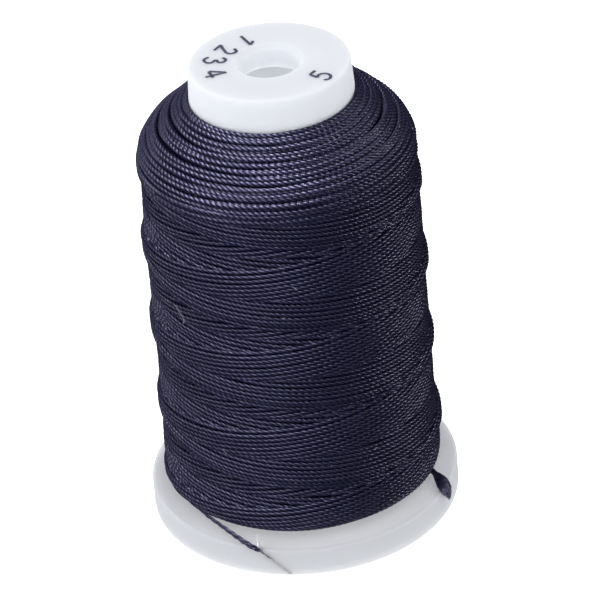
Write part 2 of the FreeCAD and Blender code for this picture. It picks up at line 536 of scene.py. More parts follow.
def turn_outline(name, corners, segments=7, steps=192):
    """Draw an outline, round its corners and spin it about the axis."""
    piece = draw_outline(name, corners)
    round_corners(piece, corners, segments)
    bpy.ops.mesh.select_all(action="SELECT")
    bpy.ops.mesh.spin(steps=steps, angle=TURN, center=(0, 0, 0), axis=(0, 0, 1))
    bpy.ops.mesh.select_all(action="SELECT")
    bpy.ops.mesh.remove_doubles(threshold=SAME_SPOT)
    bpy.ops.mesh.normals_make_consistent(inside=False)
    bpy.ops.object.mode_set(mode="OBJECT")
    pick(piece)
    bpy.ops.object.shade_smooth_by_angle(angle=CREASE)
    return piece


def combine_box(piece, operation, size, centre, *turns):
    """Cut a box from a piece or join it on, after it has been through each turn or move."""
    deselect()
    bpy.ops.mesh.primitive_cube_add(size=1)
    box = bpy.context.object
    placing = Matrix.Identity(4)
    for turn in turns:
        placing = turn @ placing
    box.data.transform(placing @ Matrix.Translation(centre) @ Matrix.Diagonal((*size, 1)))
    pick(piece)
    modifier = piece.modifiers.new("combine", "BOOLEAN")
    modifier.operation = operation
    modifier.solver = "EXACT"
    modifier.object = box
    bpy.ops.object.modifier_apply(modifier=modifier.name)
    bpy.data.objects.remove(box)


def add_object(name, data):
    """Link a new object that holds the data."""
    made = bpy.data.objects.new(name, data)
    bpy.context.collection.objects.link(made)
    return made


def new_curve(name):
    """An empty curve whose tubes get closed ends."""
    data = bpy.data.curves.new(name, "CURVE")
    data.dimensions = "3D"
    data.use_fill_caps = True
    return data


def add_line(data, line):
    """Add a run of straight steps to a curve, through the rows of a line."""
    spline = data.splines.new("POLY")
    spline.points.add(len(line) - 1)
    spline.points.foreach_set("co", np.concatenate([line, np.ones((len(line), 1))], 1).ravel())
    return spline


def mesh_of(name, data):
    """Turn a curve into a smooth mesh piece."""
    pick(add_object(name, data))
    bpy.ops.object.convert(target="MESH")
    bpy.ops.object.shade_smooth()
    return bpy.context.object


def travelled(line):
    """Distance along a line at each of its points."""
    steps = np.linalg.norm(np.diff(line, axis=0), axis=1)
    return np.concatenate([[0], np.cumsum(steps)])


def polar(radius, degrees, height):
    """A point from a radius, an angle about the axis and a height."""
    turn = math.radians(degrees)
    return Vector((radius * math.cos(turn), radius * math.sin(turn), height))


# ---------------------------------------------------------------- mouldings

def barrel_outer(sizes, height):
    """Outside radius of the barrel below the winding's top."""
    share = (height - PLATE_TOP) / (WINDING_TOP - PLATE_TOP)
    return BARREL_FOOT_RADIUS + share * (sizes.nose_seat_radius - BARREL_FOOT_RADIUS)


class SPOOL_OT_barrel(bpy.types.Operator):
    """Turn the white barrel with its nose and pin hole"""

    bl_idname = "spool.barrel"
    bl_label = "Barrel"

    def execute(self, context):
        sizes = context.scene.spool_mouldings
        disc_underside = SPOOL_TOP - sizes.nose_disc
        inner_top = barrel_outer(sizes, disc_underside) - sizes.barrel_wall
        inner_foot = BARREL_FOOT_RADIUS - sizes.barrel_wall
        outline = [
            (PIN_HOLE_RADIUS, SPOOL_TOP, sizes.hole_lip),
            (sizes.nose_top_radius, SPOOL_TOP, sizes.nose_edge),
            (sizes.nose_seat_radius, WINDING_TOP, 0),
            (BARREL_FOOT_RADIUS, PLATE_TOP, 0),
            (inner_foot, PLATE_TOP, 0),
            (inner_top, disc_underside, 0.8 * MM),
            (PIN_HOLE_RADIUS, disc_underside, 0.15 * MM),
        ]
        piece = turn_outline("spool_barrel_moulding", outline)
        dress(piece, white_moulding, "barrel_plastic", "spool_barrel")
        return {"FINISHED"}


class SPOOL_OT_flange(bpy.types.Operator):
    """Turn the foot flange and cut its thread catch"""

    bl_idname = "spool.flange"
    bl_label = "Foot flange"

    def execute(self, context):
        sizes = context.scene.spool_mouldings
        under = PLATE_TOP - sizes.plate
        spigot_top = PLATE_TOP + sizes.spigot_height
        spigot_gap = 0.03 * MM
        spigot = BARREL_FOOT_RADIUS - sizes.barrel_wall - spigot_gap
        spigot_narrow = barrel_outer(sizes, spigot_top) - sizes.barrel_wall - spigot_gap
        bush = PIN_HOLE_RADIUS + sizes.bush_wall
        rim_inner = FLANGE_RADIUS - sizes.rim_wall
        bush_foot, bush_top, bush_edge = 0.5 * MM, 4.8 * MM, 0.2 * MM
        rings = [(FLANGE_RADIUS - step * MM, PLATE_TOP, 0) for step in (0.9, 1.3, 1.7, 2.2, 2.8, 3.6)]
        outline = [
            (FLANGE_RADIUS, 0, sizes.rim_foot),
            (FLANGE_RADIUS, PLATE_TOP, sizes.rim_edge),
            *rings,
            (spigot, PLATE_TOP, 0),
            (spigot_narrow, spigot_top, sizes.spigot_wall / 3),
            (spigot_narrow - sizes.spigot_wall, spigot_top, 0),
            (spigot - sizes.spigot_wall, PLATE_TOP, 0),
            (bush, PLATE_TOP, 0),
            (bush, bush_top, bush_edge),
            (PIN_HOLE_RADIUS, bush_top, bush_edge),
            (PIN_HOLE_RADIUS, bush_foot, bush_edge),
            (bush, bush_foot, bush_edge),
            (bush, under, 0),
            (rim_inner, under, sizes.rim_wall / 4),
            (rim_inner, 0, sizes.rim_foot),
        ]
        piece = turn_outline("base_flange_moulding", outline, steps=240)
        self.add_ribs(piece, sizes, bush, spigot, under, bush_top)
        self.cut_catch(piece, sizes, under)
        pick(piece)
        bpy.ops.object.shade_smooth_by_angle(angle=CREASE)
        dress(piece, natural_moulding, "flange_plastic", "base_flange")
        self.add_burr(sizes)
        return {"FINISHED"}

    def add_ribs(self, piece, sizes, bush, spigot, under, bush_top):
        """Four webs between the bush and the spigot."""
        reach = spigot - sizes.spigot_wall / 2 - (bush - sizes.bush_wall / 2)
        middle = (spigot - sizes.spigot_wall / 2 + bush - sizes.bush_wall / 2) / 2
        rib_wall, setback = 0.8 * MM, 0.1 * MM
        rib = (reach, rib_wall, bush_top - setback - (under + setback))
        centre = Vector((middle, 0, (bush_top + under) / 2))
        for number in range(4):
            combine_box(piece, "UNION", rib, centre, Matrix.Rotation(math.radians(45 + 90 * number), 4, "Z"))

    def add_burr(self, sizes):
        """Crumbs of torn plastic where the thread is pulled over the catch."""
        rng = random.Random(3)
        catch = math.degrees(sizes.catch_angle)
        crumbs = []
        for number in range(11):
            share = number / 10
            deselect()
            bpy.ops.mesh.primitive_ico_sphere_add(subdivisions=2, radius=rng.uniform(0.08, 0.14) * MM)
            crumb = bpy.context.object
            degrees = catch + 0.5 + 3.9 * share + rng.uniform(-0.2, 0.2)
            spot = polar(FLANGE_RADIUS + 0.02 * MM, degrees, PLATE_TOP - (0.15 + 0.85 * share) * MM)
            flat = Matrix.Diagonal((rng.uniform(0.7, 1.4), rng.uniform(0.5, 0.9), rng.uniform(0.6, 1.2), 1))
            crumb.data.transform(Matrix.Translation(spot) @ flat)
            crumbs.append(crumb)
        deselect()
        for crumb in crumbs:
            crumb.select_set(True)
        bpy.context.view_layer.objects.active = crumbs[0]
        bpy.ops.object.join()
        bpy.ops.object.shade_smooth()
        burr = bpy.context.object
        burr.name = "flange_catch_burr"
        dress(burr, natural_moulding, "flange_plastic", "base_flange")

    def cut_catch(self, piece, sizes, under):
        """The cut in the plate, and its run on down across the rim."""
        outward = Matrix.Translation((FLANGE_RADIUS, 0, 0))
        length_kept = sizes.plate_cut - sizes.rim_wall / 2
        centre = Vector((-sizes.plate_cut + length_kept / 2, 0, under + sizes.plate))
        to_catch = Matrix.Rotation(sizes.catch_angle, 4, "Z")
        skew = Matrix.Rotation(sizes.plate_cut_skew, 4, "Z")
        plate_slit = (length_kept, sizes.catch_width, 2 * sizes.plate)
        combine_box(piece, "DIFFERENCE", plate_slit, centre, skew, outward, to_catch)
        half_run = PLATE_TOP / 2 / math.tan(sizes.rim_cut_lean)
        turn = Matrix.Rotation(sizes.catch_angle + half_run / FLANGE_RADIUS, 4, "Z")
        lean = Matrix.Rotation(-sizes.rim_cut_lean, 4, "X")
        up = Matrix.Translation((FLANGE_RADIUS, 0, PLATE_TOP / 2))
        run = PLATE_TOP / math.sin(sizes.rim_cut_lean) + 2 * MM
        rim_slit = (2.5 * MM, run, sizes.catch_width)
        combine_box(piece, "DIFFERENCE", rim_slit, Vector((-0.25 * MM, 0, 0)), lean, up, turn)


# ---------------------------------------------------------------- winding

class WindingFace:
    """The outline of the winding, measured along itself from the nose down to the foot."""

    def __init__(self):
        nose_seat_radius = bpy.context.scene.spool_mouldings.nose_seat_radius
        corners = [
            ((nose_seat_radius, WINDING_TOP - 0.02 * MM), 0),
            ((9.6 * MM, SPOOL_TOP - 4.0 * MM), 3.0 * MM),
            ((WINDING_RADIUS, SPOOL_TOP - 8.1 * MM), 4.5 * MM),
            ((WINDING_RADIUS + 0.08 * MM, WINDING_FOOT + 1.1 * MM), 0.7 * MM),
            ((WINDING_RADIUS - 3 * MM, WINDING_FOOT), 0),
        ]
        points = []
        for i, (corner, rounding) in enumerate(corners):
            here = np.array(corner)
            if rounding:
                points += self.arc(np.array(corners[i - 1][0]), here, np.array(corners[i + 1][0]), rounding)
            else:
                points.append(here)
        outline = np.array(points)
        along = travelled(outline)
        self.length = along[-1]
        self.along = np.linspace(0, self.length, 1200)
        self.radius = np.interp(self.along, along, outline[:, 0])
        self.height = np.interp(self.along, along, outline[:, 1])
        slope = np.gradient(np.stack([self.radius, self.height], 1), self.along, axis=0)
        smooth = np.ones(15) / 15
        self.out_r = np.convolve(-slope[:, 1], smooth, mode="same")
        self.out_z = np.convolve(slope[:, 0], smooth, mode="same")
        size = np.hypot(self.out_r, self.out_z)
        self.out_r /= size
        self.out_z /= size

    def arc(self, before, here, after, rounding):
        """Points on the arc that rounds the corner between two others."""
        back = (before - here) / np.linalg.norm(before - here)
        on = (after - here) / np.linalg.norm(after - here)
        half = math.acos(float(back @ on)) / 2
        sweep = math.pi - 2 * half
        reach = rounding / math.tan(half)
        centre = here + (back + on) / np.linalg.norm(back + on) * rounding / math.sin(half)
        start, end = here + back * reach - centre, here + on * reach - centre
        points = []
        for share in np.linspace(0, 1, 13):
            arm = start * math.sin((1 - share) * sweep) + end * math.sin(share * sweep)
            points.append(centre + arm / math.sin(sweep))
        return points

    def along_at_height(self, height):
        """Distance from the nose of a height on the side."""
        return np.interp(-np.asarray(height), -self.height, self.along)

    def spot(self, along, lift):
        """Radius and height at a distance along the outline, lifted off it."""
        radius = np.interp(along, self.along, self.radius)
        height = np.interp(along, self.along, self.height)
        out_r = np.interp(along, self.along, self.out_r)
        out_z = np.interp(along, self.along, self.out_z)
        return radius + out_r * lift, height + out_z * lift

    def point(self, degrees, height, lift):
        """The point at an angle and a height on the side, lifted off it."""
        radius, level = self.spot(float(self.along_at_height(height)), lift)
        return polar(float(radius), degrees, float(level))


def fraction(values):
    """The part past the whole number."""
    return values - np.floor(values)


def step_up(values):
    """A smooth step from 0 to 1 about zero."""
    return 0.5 * (1 + np.tanh(values))


def newness(sizes, rising, turn_angle, height):
    """0 for the oldest to 1 for the newest thread of one family at a place."""
    way = sizes.lead * (turn_angle - math.pi) / TURN
    if rising:
        return 1 - fraction((sizes.rising_edge + way - height) / sizes.lead)
    return 1 - fraction((height - sizes.falling_edge + way) / sizes.lead)


def swelling(sizes, turn_angle, height):
    """How far the winding swells where its last threads lie."""
    total = np.zeros_like(turn_angle)
    for rising, behind in ((True, 0.0), (False, -0.08)):
        for nudge in (-0.03, 0, 0.03):
            place = height + (behind + nudge) * sizes.lead
            total += newness(sizes, rising, turn_angle, place) / 3
    return sizes.swell * (total - 1)


def wander(rng, turn_angle, size):
    """A slow random sway."""
    total = np.zeros_like(turn_angle)
    for rate in (0.6, 1.3, 2.7, 5.1, 9.7):
        total += rng.uniform(0.4, 1.0) * np.sin(rate * turn_angle + rng.uniform(0, TURN)) / (1 + 0.25 * rate)
    return size * total / 1.6


def places(radius, turn_angle, height):
    """Points from cylinder coordinates, one row each."""
    return np.stack([radius * np.cos(turn_angle), radius * np.sin(turn_angle), height], 1)


def runs_of(mask):
    """Start and end of each stretch that is true."""
    edges = np.flatnonzero(np.diff(np.concatenate([[0], mask.astype(int), [0]])))
    return list(zip(edges[::2], edges[1::2]))


# Radius in the grooves between the plies, as a share of the thread's radius.
GROOVE = 0.7


def ply_section(radius):
    """The outline across a thread of three plies, as a curve to sweep."""
    data = bpy.data.curves.new("ply_section", "CURVE")
    data.dimensions = "2D"
    profile = [(1.0, 0), (0.94, 30), (GROOVE, 60), (0.94, 90)]
    points = []
    for lobe in range(3):
        for share, degrees in profile:
            points.append(polar(radius * share, 120 * lobe + degrees, 0)[:])
    add_line(data, np.array(points)).use_cyclic_u = True
    return add_object("ply_section", data)


def sweep_threads(name, paths, section, pitch):
    """Sweep a twisting section along each path and turn the curves into one mesh."""
    data = new_curve(name)
    data.twist_mode = "Z_UP"
    data.bevel_mode = "OBJECT"
    data.bevel_object = section
    for line, start_twist, slackness in paths:
        twist = start_twist + travelled(line) * TURN / (pitch * slackness)
        add_line(data, line).points.foreach_set("tilt", twist)
    piece = mesh_of(name, data)
    mark_ridges(piece, len(section.data.splines[0].points))
    return piece


def mark_ridges(piece, around):
    """Note on each point whether it is on a ply's crest (1) or in the groove between plies (0)."""
    mesh = piece.data
    spots = np.empty(len(mesh.vertices) * 3)
    mesh.vertices.foreach_get("co", spots)
    rings = spots.reshape(-1, around, 3)
    reach = np.linalg.norm(rings - rings.mean(axis=1, keepdims=True), axis=2)
    share = reach / np.maximum(reach.max(axis=1, keepdims=True), 1e-9)
    ridge = mesh.attributes.new("ridge", "FLOAT", "POINT")
    ridge.data.foreach_set("value", np.clip((share.ravel() - GROOVE) / (1 - GROOVE), 0, 1))


def taper(height):
    """How far the side of the winding stands off its plain outline, by height."""
    heights = np.array([4, 8, 12, 20, 33, 37, 41, 43]) * MM
    return np.interp(height, heights, np.array([0.15, 0.20, -0.02, -0.08, -0.08, -0.22, -0.38, -0.30]) * MM)


def eased(height, low, high, reach):
    """Heights that level out near both ends, as the thread turns back there."""
    over = np.maximum(height - high, 0)
    under = np.maximum(low - height, 0)
    inside = np.clip(height, low, high)
    return inside + reach * (1 - np.exp(-over / reach)) - reach * (1 - np.exp(-under / reach))


def body_paths(sizes, face, rising, numbers):
    """The threads of one family on the side of the winding, where they lie on top."""
    paths = []
    sign = 1 if rising else -1
    newest = sizes.rising_edge if rising else sizes.falling_edge
    low, high = WINDING_FOOT + 0.8 * MM, SPOOL_TOP - 8.2 * MM
    turns = (high - low) / sizes.lead
    steps = int(turns * TURN * WINDING_RADIUS / sizes.segment)
    blur, sunk, least_steps = 0.05, 0.66 * sizes.diameter, 8
    for number in numbers:
        rng = random.Random(1000 * int(rising) + number)
        age = (number + 0.5) / sizes.starts
        base = newest - sign * age * sizes.lead
        first = math.pi + TURN * sign * ((low if rising else high) - base) / sizes.lead
        turn_angle = first + np.linspace(0, turns * TURN, steps)
        height = base + sign * sizes.lead * (turn_angle - math.pi) / TURN
        other = newness(sizes, not rising, turn_angle, height)
        on_top = step_up((1 - age - other) / blur) * step_up(other / blur) + step_up((other - 1) / blur)
        lift = sunk * (on_top - 1) - sizes.diameter / 2
        lift = lift + swelling(sizes, turn_angle, height) + taper(height) + wander(rng, turn_angle, 0.03 * MM)
        dive = 1.2 * MM * np.exp((low - height) / (0.3 * MM))
        sway = wander(rng, turn_angle, 0.05 * MM)
        turn_low = WINDING_FOOT + rng.uniform(1.0, 2.0) * MM
        turn_high = SPOOL_TOP - rng.uniform(10.2, 11.4) * MM
        level_at = eased(height + sway, turn_low, turn_high, 0.8 * MM)
        radius, level = face.spot(face.along_at_height(level_at), lift - dive)
        points = places(radius, turn_angle, level)
        for start, end in runs_of(on_top > 0.08):
            if end - start > least_steps:
                paths.append((points[start:end], rng.uniform(0, TURN), rng.uniform(0.88, 1.12)))
    return paths


def turn_paths(sizes, face, start, end, pitch, lift, clockwise, seed):
    """One long thread in near-level turns, which sway apart and together."""
    rng = random.Random(seed)
    mean_radius = 0.85 * WINDING_RADIUS
    sweep = abs(end - start) / pitch * TURN
    around = np.linspace(0, sweep, int(sweep * mean_radius / sizes.segment))
    along = start + (end - start) * around / sweep + wander(rng, around, 0.21 * MM)
    along = np.maximum(along, 0.30 * MM)
    raised = lift - sizes.diameter / 2 + wander(rng, around, 0.09 * MM)
    against_nose = 0.45 * MM * np.exp(-along / (0.6 * MM))
    dive = 0.8 * MM * (np.exp(-around / 0.25) + np.exp((around - sweep) / 0.25))
    radius, level = face.spot(along, raised + against_nose - dive)
    turn_angle = -around if clockwise else around
    return [(places(radius, turn_angle + rng.uniform(0, TURN), level), 0.0, 1.0)]


class SPOOL_OT_under_layers(bpy.types.Operator):
    """Turn the packed layers that lie under the visible threads"""

    bl_idname = "spool.under_layers"
    bl_label = "Layers underneath"

    def execute(self, context):
        thread = context.scene.spool_thread
        face = WindingFace()
        depth = 0.9 * thread.diameter + 1.34 * thread.swell
        outline = []
        for along in np.linspace(0.3 * MM, face.length - 0.6 * MM, 60):
            radius, height = face.spot(along, -depth)
            outline.append((float(radius), float(height), 0))
        inside = CORE_RADIUS - 1.0 * MM
        outline += [
            (inside, WINDING_FOOT, 0),
            (inside, WINDING_FOOT + 2 * MM, 0),
            (outline[0][0] - 0.6 * MM, core_high.z, 0),
        ]
        piece = turn_outline("winding_under_layers", outline, steps=160)
        # With no ridge marks, these layers and the kept inner winding take the darkest thread colour, the
        # painted shade of the ply grooves.
        dress(piece, thread_fibre, "thread", "outer_winding")
        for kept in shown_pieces():
            if kept.get("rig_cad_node") == "inner_winding":
                for slot in kept.material_slots:
                    slot.material = finish_of(thread_fibre)
        return {"FINISHED"}


class SPOOL_OT_body_threads(bpy.types.Operator):
    """Wind the crossing threads on the side of the winding"""

    bl_idname = "spool.body_threads"
    bl_label = "Threads on the side"

    def execute(self, context):
        sizes = context.scene.spool_thread
        face = WindingFace()
        section = ply_section(sizes.diameter / 2)
        pieces_of_each = 4
        for rising, family in ((True, "rising"), (False, "falling")):
            for part in range(pieces_of_each):
                paths = body_paths(sizes, face, rising, range(part, sizes.starts, pieces_of_each))
                name = "winding_" + family + "_threads_" + str(part + 1)
                piece = sweep_threads(name, paths, section, sizes.twist_pitch)
                dress(piece, thread_fibre, "thread", "outer_winding")
        bpy.data.objects.remove(section)
        return {"FINISHED"}


class SPOOL_OT_end_threads(bpy.types.Operator):
    """Wind the turns on the shoulder and at the foot, where the travel turns back"""

    bl_idname = "spool.end_threads"
    bl_label = "Threads on the shoulder and foot"

    def execute(self, context):
        sizes = context.scene.spool_thread
        face = WindingFace()
        section = ply_section(sizes.loose_diameter / 2)
        shoulder_end = float(face.along_at_height(SPOOL_TOP - 10.6 * MM))
        foot = face.length - 2.4 * MM
        foot_end = float(face.along_at_height(WINDING_FOOT + 2.4 * MM))
        pitch, foot_pitch = sizes.shoulder_pitch, 0.46 * MM
        layers = (
            ("winding_shoulder_threads_1", -0.45 * MM, shoulder_end, pitch, -0.18 * MM, False, 7),
            ("winding_shoulder_threads_2", -0.1 * MM, shoulder_end, pitch, -0.34 * MM, True, 9),
            ("winding_foot_threads_1", foot, foot_end, foot_pitch, -0.05 * MM, True, 11),
            ("winding_foot_threads_2", foot, foot_end, foot_pitch, -0.35 * MM, False, 13),
        )
        for name, *layout in layers:
            piece = sweep_threads(name, turn_paths(sizes, face, *layout), section, sizes.twist_pitch)
            dress(piece, thread_fibre, "thread", "outer_winding")
        bpy.data.objects.remove(section)
        return {"FINISHED"}


# ---------------------------------------------------------------- loose ends

def smooth_line(points, step):
    """A smooth line through given points, at even steps."""
    data = bpy.data.curves.new("route", "CURVE")
    data.dimensions = "3D"
    data.resolution_u = 24
    spline = data.splines.new("NURBS")
    spline.points.add(len(points) - 1)
    for point, place in zip(spline.points, points):
        point.co = (*place, 1)
    spline.order_u = 3
    spline.use_endpoint_u = True
    route = add_object("route", data)
    bpy.context.view_layer.update()
    mesh = bpy.data.meshes.new_from_object(route.evaluated_get(bpy.context.evaluated_depsgraph_get()))
    line = np.array([vertex.co[:] for vertex in mesh.vertices])
    bpy.data.meshes.remove(mesh)
    bpy.data.objects.remove(route)
    along = travelled(line)
    even = np.linspace(0, along[-1], max(4, int(along[-1] / step)))
    return np.stack([np.interp(even, along, line[:, axis]) for axis in range(3)], 1)


def plies_along(line, spread, pitch, flatten):
    """Three ply centre lines that twist round a line, whose spread changes along it."""
    tangent = np.gradient(line, axis=0)
    tangent /= np.linalg.norm(tangent, axis=1)[:, None]
    side = np.cross(tangent, np.array([0.0, 0.0, 1.0]))
    side /= np.linalg.norm(side, axis=1)[:, None]
    upward = np.cross(side, tangent)
    made = []
    for ply in range(3):
        turn = travelled(line) * TURN / pitch + TURN * ply / 3
        across = np.cos(turn) * spread
        over = np.sin(turn) * spread * flatten
        made.append(line + side * across[:, None] + upward * over[:, None])
    return made


def tube_mesh(name, lines, radii, resolution=3):
    """Round tubes along lines, as one mesh."""
    data = new_curve(name)
    data.bevel_depth = 1.0
    data.bevel_resolution = resolution
    for line, radius in zip(lines, radii):
        add_line(data, line).points.foreach_set("radius", radius * np.ones(len(line)))
    return mesh_of(name, data)


class SPOOL_OT_running_end(bpy.types.Operator):
    """Lay the thread's running end from the winding into the catch"""

    bl_idname = "spool.running_end"
    bl_label = "Running end"

    def execute(self, context):
        half = context.scene.spool_thread.diameter / 2
        catch = math.degrees(context.scene.spool_mouldings.catch_angle)
        route = (
            (WINDING_RADIUS - 0.45 * MM, -62, PLATE_TOP + 3.0 * MM),
            (WINDING_RADIUS + 0.05 * MM, -46, PLATE_TOP + 2.1 * MM),
            (WINDING_RADIUS + 0.17 * MM, -29, PLATE_TOP + 1.25 * MM),
            (WINDING_RADIUS + 0.33 * MM, -21, PLATE_TOP + 1.0 * MM),
            (FLANGE_RADIUS - 1.03 * MM, -13.4, PLATE_TOP + 0.7 * MM),
            (FLANGE_RADIUS - 0.38 * MM, -6.2, PLATE_TOP + 0.42 * MM),
            (FLANGE_RADIUS + 0.13 * MM, -0.2, PLATE_TOP + 0.02 * MM),
            (FLANGE_RADIUS - 0.45 * MM, 0.9, PLATE_TOP - 0.38 * MM),
            (FLANGE_RADIUS - 1.50 * MM, 2.0, PLATE_TOP * 0.62),
            (FLANGE_RADIUS - 1.90 * MM, 6.0, PLATE_TOP * 0.45),
        )
        points = [polar(radius, catch + turn, height) for radius, turn, height in route]
        line = smooth_line(points, 0.09 * MM)
        degrees = np.degrees(np.unwrap(np.arctan2(line[:, 1], line[:, 0]))) % 360
        opened = np.clip((degrees - catch + 30) / 26, 0, 1)
        pinch = np.clip(1.3 - (degrees - catch + 2) / 3, 0.35, 1.0)
        lines = plies_along(line, half * (0.36 + 0.44 * opened) * pinch, 3.1 * MM, 0.75)
        piece = tube_mesh("thread_running_end_plies", lines, [half * (0.36 + 0.16 * opened)] * 3)
        dress(piece, loose_fibre, "thread", "thread_running_end")
        return {"FINISHED"}


class SPOOL_OT_starting_tail(bpy.types.Operator):
    """Fan out the cut tail that the winding began from"""

    bl_idname = "spool.starting_tail"
    bl_label = "Starting tail"

    def execute(self, context):
        rng = random.Random(31)
        root = Vector((12.75 * MM, -3.95 * MM, PLATE_TOP + 0.35 * MM))
        heading = math.radians(-66.5)
        onward = Vector((math.cos(heading), math.sin(heading), 0))
        aside = Vector((-onward.y, onward.x, 0))
        lines, radii = [], []
        half_width, thickness, steps = 0.88 * MM, 0.42 * MM, 11
        for _ in range(190):
            across = rng.uniform(-1, 1)
            reach = (4.45 - 1.05 * abs(across + 0.25) ** 1.4 + rng.uniform(-0.30, 0.25)) * MM
            curl = rng.uniform(-0.10, 0.10) * MM
            rise = rng.uniform(0.0, 1.0)
            points = []
            for share in np.linspace(-0.25, 1, steps):
                # Fibres stay together for the first part, then fan out and droop past the rim.
                fan = (0.20 + 0.80 * max(0.0, (share - 0.40) / 0.60) ** 0.8) * across * half_width
                place = root + onward * (share * reach) + aside * (fan + curl * math.sin(3 * share))
                bulk = thickness * math.sin(math.pi * min(1.0, 0.35 + 0.60 * share))
                past_rim = max(0.0, math.hypot(place.x, place.y) - FLANGE_RADIUS + 0.35 * MM)
                place.z += rise * bulk - 0.9 * past_rim
                points.append(place[:])
            lines.append(np.array(points))
            radii.append(np.linspace(0.045, 0.028, steps) * MM)
        piece = tube_mesh("thread_starting_tail_fibres", lines, radii, resolution=1)
        dress(piece, loose_fibre, "thread", "thread_starting_tail")
        return {"FINISHED"}


# ---------------------------------------------------------------- print and dust

# Strokes of each numeral: how far across, how far up, and whether the stroke bends there.
NUMERALS = {
    "1": [[(0.08, 0.74, 0), (0.36, 1.0, 0)], [(0.34, 1.0, 0), (0.34, 0.0, 0)]],
    "2": [
        [(0.04, 0.76, 1), (0.28, 1.0, 1), (0.54, 0.76, 1), (0.36, 0.40, 1), (0.04, 0.0, 0)],
        [(0.02, 0.0, 0), (0.58, 0.0, 0)],
    ],
    "3": [
        [(0.06, 0.84, 1), (0.29, 1.0, 1), (0.52, 0.78, 1), (0.27, 0.55, 1)],
        [(0.27, 0.55, 1), (0.57, 0.29, 1), (0.28, 0.0, 1), (0.03, 0.17, 1)],
    ],
    "4": [
        [(0.44, 0.0, 0), (0.44, 1.0, 0)],
        [(0.44, 0.98, 0), (0.0, 0.32, 0)],
        [(0.0, 0.30, 0), (0.62, 0.30, 0)],
    ],
    "5": [
        [(0.52, 1.0, 0), (0.12, 1.0, 0)],
        [(0.12, 1.0, 0), (0.07, 0.54, 0)],
        [(0.07, 0.54, 1), (0.30, 0.63, 1), (0.56, 0.33, 1), (0.28, 0.0, 1), (0.02, 0.14, 1)],
    ],
}


class SPOOL_OT_numerals(bpy.types.Operator):
    """Print plain numerals round the hole"""

    bl_idname = "spool.numerals"
    bl_label = "Numerals"

    def execute(self, context):
        tall = 2.15 * MM
        spots = ((4.92, 114.4), (4.96, 145.0), (5.37, 169.5), (5.6, 197.4), (6.3, 321.5))
        for numeral, (radius, degrees) in zip(NUMERALS, spots):
            piece = self.stroke_numeral(numeral, tall, radius * MM, degrees)
            piece.name = "nose_numeral_" + numeral
            dress(piece, print_ink, None)
        return {"FINISHED"}

    def stroke_numeral(self, numeral, tall, radius, degrees):
        """One numeral in flattened strokes, its top towards the hole."""
        data = new_curve("numeral")
        data.resolution_u = 8
        data.bevel_depth = 0.165 * MM
        data.bevel_resolution = 3
        for stroke in NUMERALS[numeral]:
            spline = data.splines.new("BEZIER")
            spline.bezier_points.add(len(stroke) - 1)
            for point, (across, upward, soft) in zip(spline.bezier_points, stroke):
                point.co = ((across - 0.3) * tall, (upward - 0.5) * tall, 0)
                kind = "AUTO" if soft else "VECTOR"
                point.handle_left_type = kind
                point.handle_right_type = kind
        piece = mesh_of("numeral", data)
        turn = Matrix.Rotation(math.radians(degrees + 90), 4, "Z")
        place = Matrix.Translation(polar(radius, degrees, SPOOL_TOP - 0.002 * MM))
        flattened = Matrix.Diagonal((1, 1, 0.10, 1))
        piece.data.transform(place @ turn @ flattened)
        return piece


# Longer fibres that lie on the winding, each by its degrees about the axis and its height in mm.
LINT_TRAILS = (
    ((216.6, 28.9), (217.8, 29.0), (219.5, 28.4), (221.2, 28.1), (222.0, 27.5), (221.0, 27.2)),
    ((271.4, 33.5), (272.1, 33.3), (273.2, 33.0)),
    ((312.6, 30.6), (312.9, 30.7), (313.3, 30.7)),
    ((351.0, 42.8), (351.4, 42.9), (351.9, 42.9)),
    ((300.0, 12.2), (300.6, 12.5), (301.5, 12.3)),
    ((236.0, 13.6), (236.6, 13.2), (237.6, 13.1)),
)


class SPOOL_OT_lint(bpy.types.Operator):
    """Scatter a few pale fibres and specks on the winding"""

    bl_idname = "spool.lint"
    bl_label = "Lint"

    def execute(self, context):
        rng = random.Random(5)
        face = WindingFace()
        lines, radii = [], []
        for _ in range(60):
            height = rng.uniform(5, 45) * MM
            degrees = rng.uniform(0, 360)
            middle = face.point(degrees, height, rng.uniform(-0.02, 0.05) * MM)
            size = rng.choice((0.08, 0.08, 0.12, 0.16, 0.30)) * MM
            across = polar(1, degrees + 90, 0)
            lean = rng.uniform(0, math.pi)
            onward = across * math.cos(lean) + Vector((0, 0, math.sin(lean)))
            outward = polar(1, degrees, 0)
            bend = rng.uniform(-0.5, 0.5)
            points = []
            for share in np.linspace(-0.5, 0.5, 6):
                curve = bend * (0.25 - share ** 2) * size
                bow = outward * (abs(curve) * 0.4) + across.cross(outward) * curve
                points.append((middle + onward * (share * size) + bow)[:])
            lines.append(np.array(points))
            radii.append(0.016 * MM)
        for trail in LINT_TRAILS:
            points = [face.point(degrees, height * MM, 0.08 * MM) for degrees, height in trail]
            lines.append(smooth_line(points, 0.05 * MM))
            radii.append(0.018 * MM)
        piece = tube_mesh("lint_specks", lines, radii, resolution=1)
        dress(piece, lint_fibre, None)
        return {"FINISHED"}


# ---------------------------------------------------------------- stage

